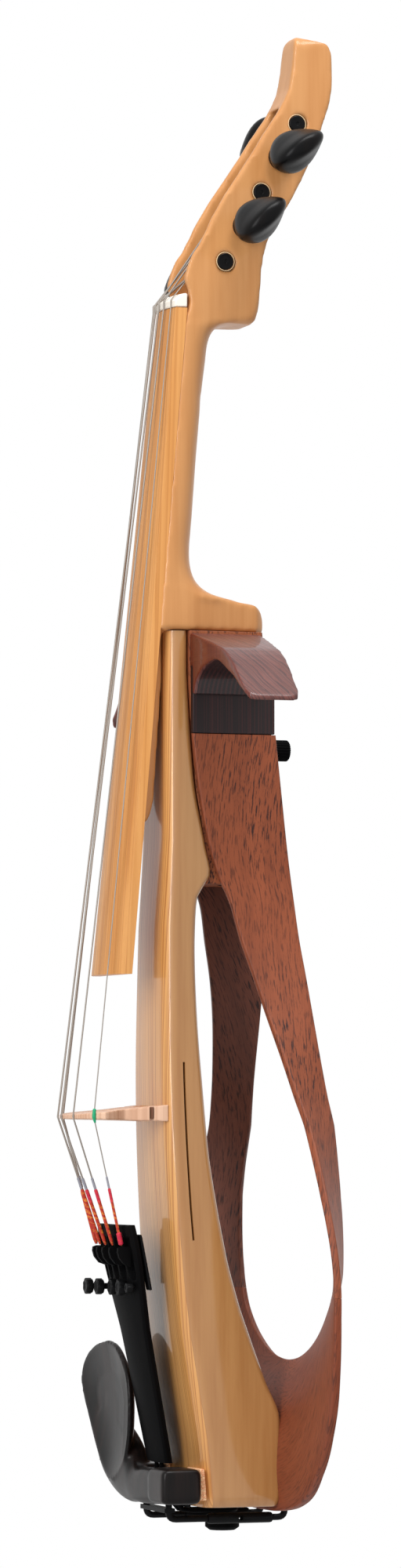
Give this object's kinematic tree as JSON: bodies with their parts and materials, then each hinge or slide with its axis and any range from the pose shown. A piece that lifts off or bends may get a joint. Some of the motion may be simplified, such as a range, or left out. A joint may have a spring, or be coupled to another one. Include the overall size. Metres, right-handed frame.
{
  "type": "electric violin",
  "caption": "Slim-bodied electric bowed instrument with a bent ribbon frame, chin rest, tailpiece with fine tuners and side pegs.",
  "frame": {"origin": "middle of the flat ledge under the peg box, where a hanger holds the instrument", "axes": "+X to the treble side, +Y to the back, +Z along the instrument towards the head"},
  "size_m": [0.1894, 0.1132, 0.6057],
  "materials": {
    "neck_maple": "satin varnished maple",
    "body_maple": "semi-gloss varnished maple",
    "board_wood": "satin light hardwood",
    "spruce": "gloss varnished spruce",
    "walnut": "satin varnished walnut",
    "dark_veneer": "satin dark veneer",
    "bone": "satin",
    "ebony": "satin black",
    "string_steel": "wound steel",
    "green_plastic": "matte",
    "pickup": "matte",
    "bridge_maple": "bare maple",
    "black_steel": "black, semi-gloss",
    "nickel": "nickel plate",
    "cork": "bare cork"
  },
  "bodies": {
    "instrument": {"neck": "neck_maple", "fingerboard": "board_wood", "nut": "bone", "tailpiece": "ebony", "saddle": "ebony", "end_button": "ebony", "chin_rest": "ebony", "tailgut": "ebony", "string_c": "string_steel", "string_g": "string_steel", "string_d": "string_steel", "string_a": "string_steel", "string_e": "string_steel", "e_string_sleeve": "green_plastic", "pickup_bass": "pickup", "pickup_treble": "pickup", "bridge": "bridge_maple", "body_core": "body_maple", "top_plate": "spruce", "rib_treble": "walnut", "rib_bass": "walnut", "lower_panel": "walnut", "wing_treble": "walnut", "wing_bass": "walnut", "trunk_block": "walnut", "cheek_treble": "dark_veneer", "cheek_bass": "dark_veneer", "control_cover": "dark_veneer", "cover_screw_upper": "black_steel", "cover_screw_lower": "black_steel", "neck_bolt": "black_steel", "jack_nut": "black_steel", "clamp_hook_bass": "black_steel", "clamp_hook_treble": "black_steel", "clamp_bracket": "black_steel", "potentiometer": "nickel", "jack_socket": "nickel", "cork_pad_bass": "cork", "cork_pad_treble": "cork"},
    "peg_c": {"peg_c": "ebony"},
    "peg_e": {"peg_e": "ebony"},
    "peg_g": {"peg_g": "ebony"},
    "peg_a": {"peg_a": "ebony"},
    "peg_d": {"peg_d": "ebony"},
    "tuner_screw_c": {"tuner_screw_c": "black_steel"},
    "tuner_lever_c": {"tuner_lever_c": "black_steel"},
    "tuner_screw_g": {"tuner_screw_g": "black_steel"},
    "tuner_lever_g": {"tuner_lever_g": "black_steel"},
    "tuner_screw_d": {"tuner_screw_d": "black_steel"},
    "tuner_lever_d": {"tuner_lever_d": "black_steel"},
    "tuner_screw_a": {"tuner_screw_a": "black_steel"},
    "tuner_lever_a": {"tuner_lever_a": "black_steel"},
    "tuner_screw_e": {"tuner_screw_e": "black_steel"},
    "tuner_lever_e": {"tuner_lever_e": "black_steel"},
    "volume_knob": {"volume_knob": "ebony"},
    "clamp_barrel_bass": {"clamp_barrel_bass": "black_steel"},
    "clamp_barrel_treble": {"clamp_barrel_treble": "black_steel"}
  },
  "joints": [
    {"name": "peg_c_turn", "type": "hinge", "parent": "instrument", "child": "peg_c", "pos_m": [0, -0.0073, 0.0247], "axis": [1, 0, 0], "continuous": true},
    {"name": "peg_e_turn", "type": "hinge", "parent": "instrument", "child": "peg_e", "pos_m": [0, 0.00065, 0.03935], "axis": [1, 0, 0], "continuous": true},
    {"name": "peg_g_turn", "type": "hinge", "parent": "instrument", "child": "peg_g", "pos_m": [0, 0.00861, 0.054], "axis": [1, 0, 0], "continuous": true},
    {"name": "peg_a_turn", "type": "hinge", "parent": "instrument", "child": "peg_a", "pos_m": [0, 0.01656, 0.06865], "axis": [1, 0, 0], "continuous": true},
    {"name": "peg_d_turn", "type": "hinge", "parent": "instrument", "child": "peg_d", "pos_m": [0, 0.02452, 0.0833], "axis": [1, 0, 0], "continuous": true},
    {"name": "tuner_c_turn", "type": "hinge", "parent": "instrument", "child": "tuner_screw_c", "pos_m": [-0.016, -0.04611, -0.38949], "axis": [0, 1, 0], "range_deg": [0, 720]},
    {"name": "lever_c_rock", "type": "hinge", "parent": "instrument", "child": "tuner_lever_c", "pos_m": [-0.016, -0.04501, -0.3745], "axis": [1, 0, 0], "range_deg": [0, 4]},
    {"name": "tuner_g_turn", "type": "hinge", "parent": "instrument", "child": "tuner_screw_g", "pos_m": [-0.008, -0.04611, -0.38949], "axis": [0, 1, 0], "range_deg": [0, 720]},
    {"name": "lever_g_rock", "type": "hinge", "parent": "instrument", "child": "tuner_lever_g", "pos_m": [-0.008, -0.04601, -0.3745], "axis": [1, 0, 0], "range_deg": [0, 4]},
    {"name": "tuner_d_turn", "type": "hinge", "parent": "instrument", "child": "tuner_screw_d", "pos_m": [0, -0.04611, -0.38949], "axis": [0, 1, 0], "range_deg": [0, 720]},
    {"name": "lever_d_rock", "type": "hinge", "parent": "instrument", "child": "tuner_lever_d", "pos_m": [0, -0.04634, -0.3745], "axis": [1, 0, 0], "range_deg": [0, 4]},
    {"name": "tuner_a_turn", "type": "hinge", "parent": "instrument", "child": "tuner_screw_a", "pos_m": [0.008, -0.04611, -0.38949], "axis": [0, 1, 0], "range_deg": [0, 720]},
    {"name": "lever_a_rock", "type": "hinge", "parent": "instrument", "child": "tuner_lever_a", "pos_m": [0.008, -0.04601, -0.3745], "axis": [1, 0, 0], "range_deg": [0, 4]},
    {"name": "tuner_e_turn", "type": "hinge", "parent": "instrument", "child": "tuner_screw_e", "pos_m": [0.016, -0.04611, -0.38949], "axis": [0, 1, 0], "range_deg": [0, 720]},
    {"name": "lever_e_rock", "type": "hinge", "parent": "instrument", "child": "tuner_lever_e", "pos_m": [0.016, -0.04501, -0.3745], "axis": [1, 0, 0], "range_deg": [0, 4]},
    {"name": "volume_turn", "type": "hinge", "parent": "instrument", "child": "volume_knob", "pos_m": [0, 0.01624, -0.1728], "axis": [0, 1, 0], "range_deg": [-150, 150]},
    {"name": "clamp_barrel_bass_turn", "type": "hinge", "parent": "instrument", "child": "clamp_barrel_bass", "pos_m": [-0.014, -0.0021, -0.4816], "axis": [0, 1, 0], "continuous": true},
    {"name": "clamp_barrel_treble_turn", "type": "hinge", "parent": "instrument", "child": "clamp_barrel_treble", "pos_m": [0.014, -0.0021, -0.4816], "axis": [0, 1, 0], "continuous": true}
  ],
  "couplings": [
    {"joint": "lever_c_rock", "follows": "tuner_c_turn", "ratio": 0.0055556},
    {"joint": "lever_g_rock", "follows": "tuner_g_turn", "ratio": 0.0055556},
    {"joint": "lever_d_rock", "follows": "tuner_d_turn", "ratio": 0.0055556},
    {"joint": "lever_a_rock", "follows": "tuner_a_turn", "ratio": 0.0055556},
    {"joint": "lever_e_rock", "follows": "tuner_e_turn", "ratio": 0.0055556}
  ]
}
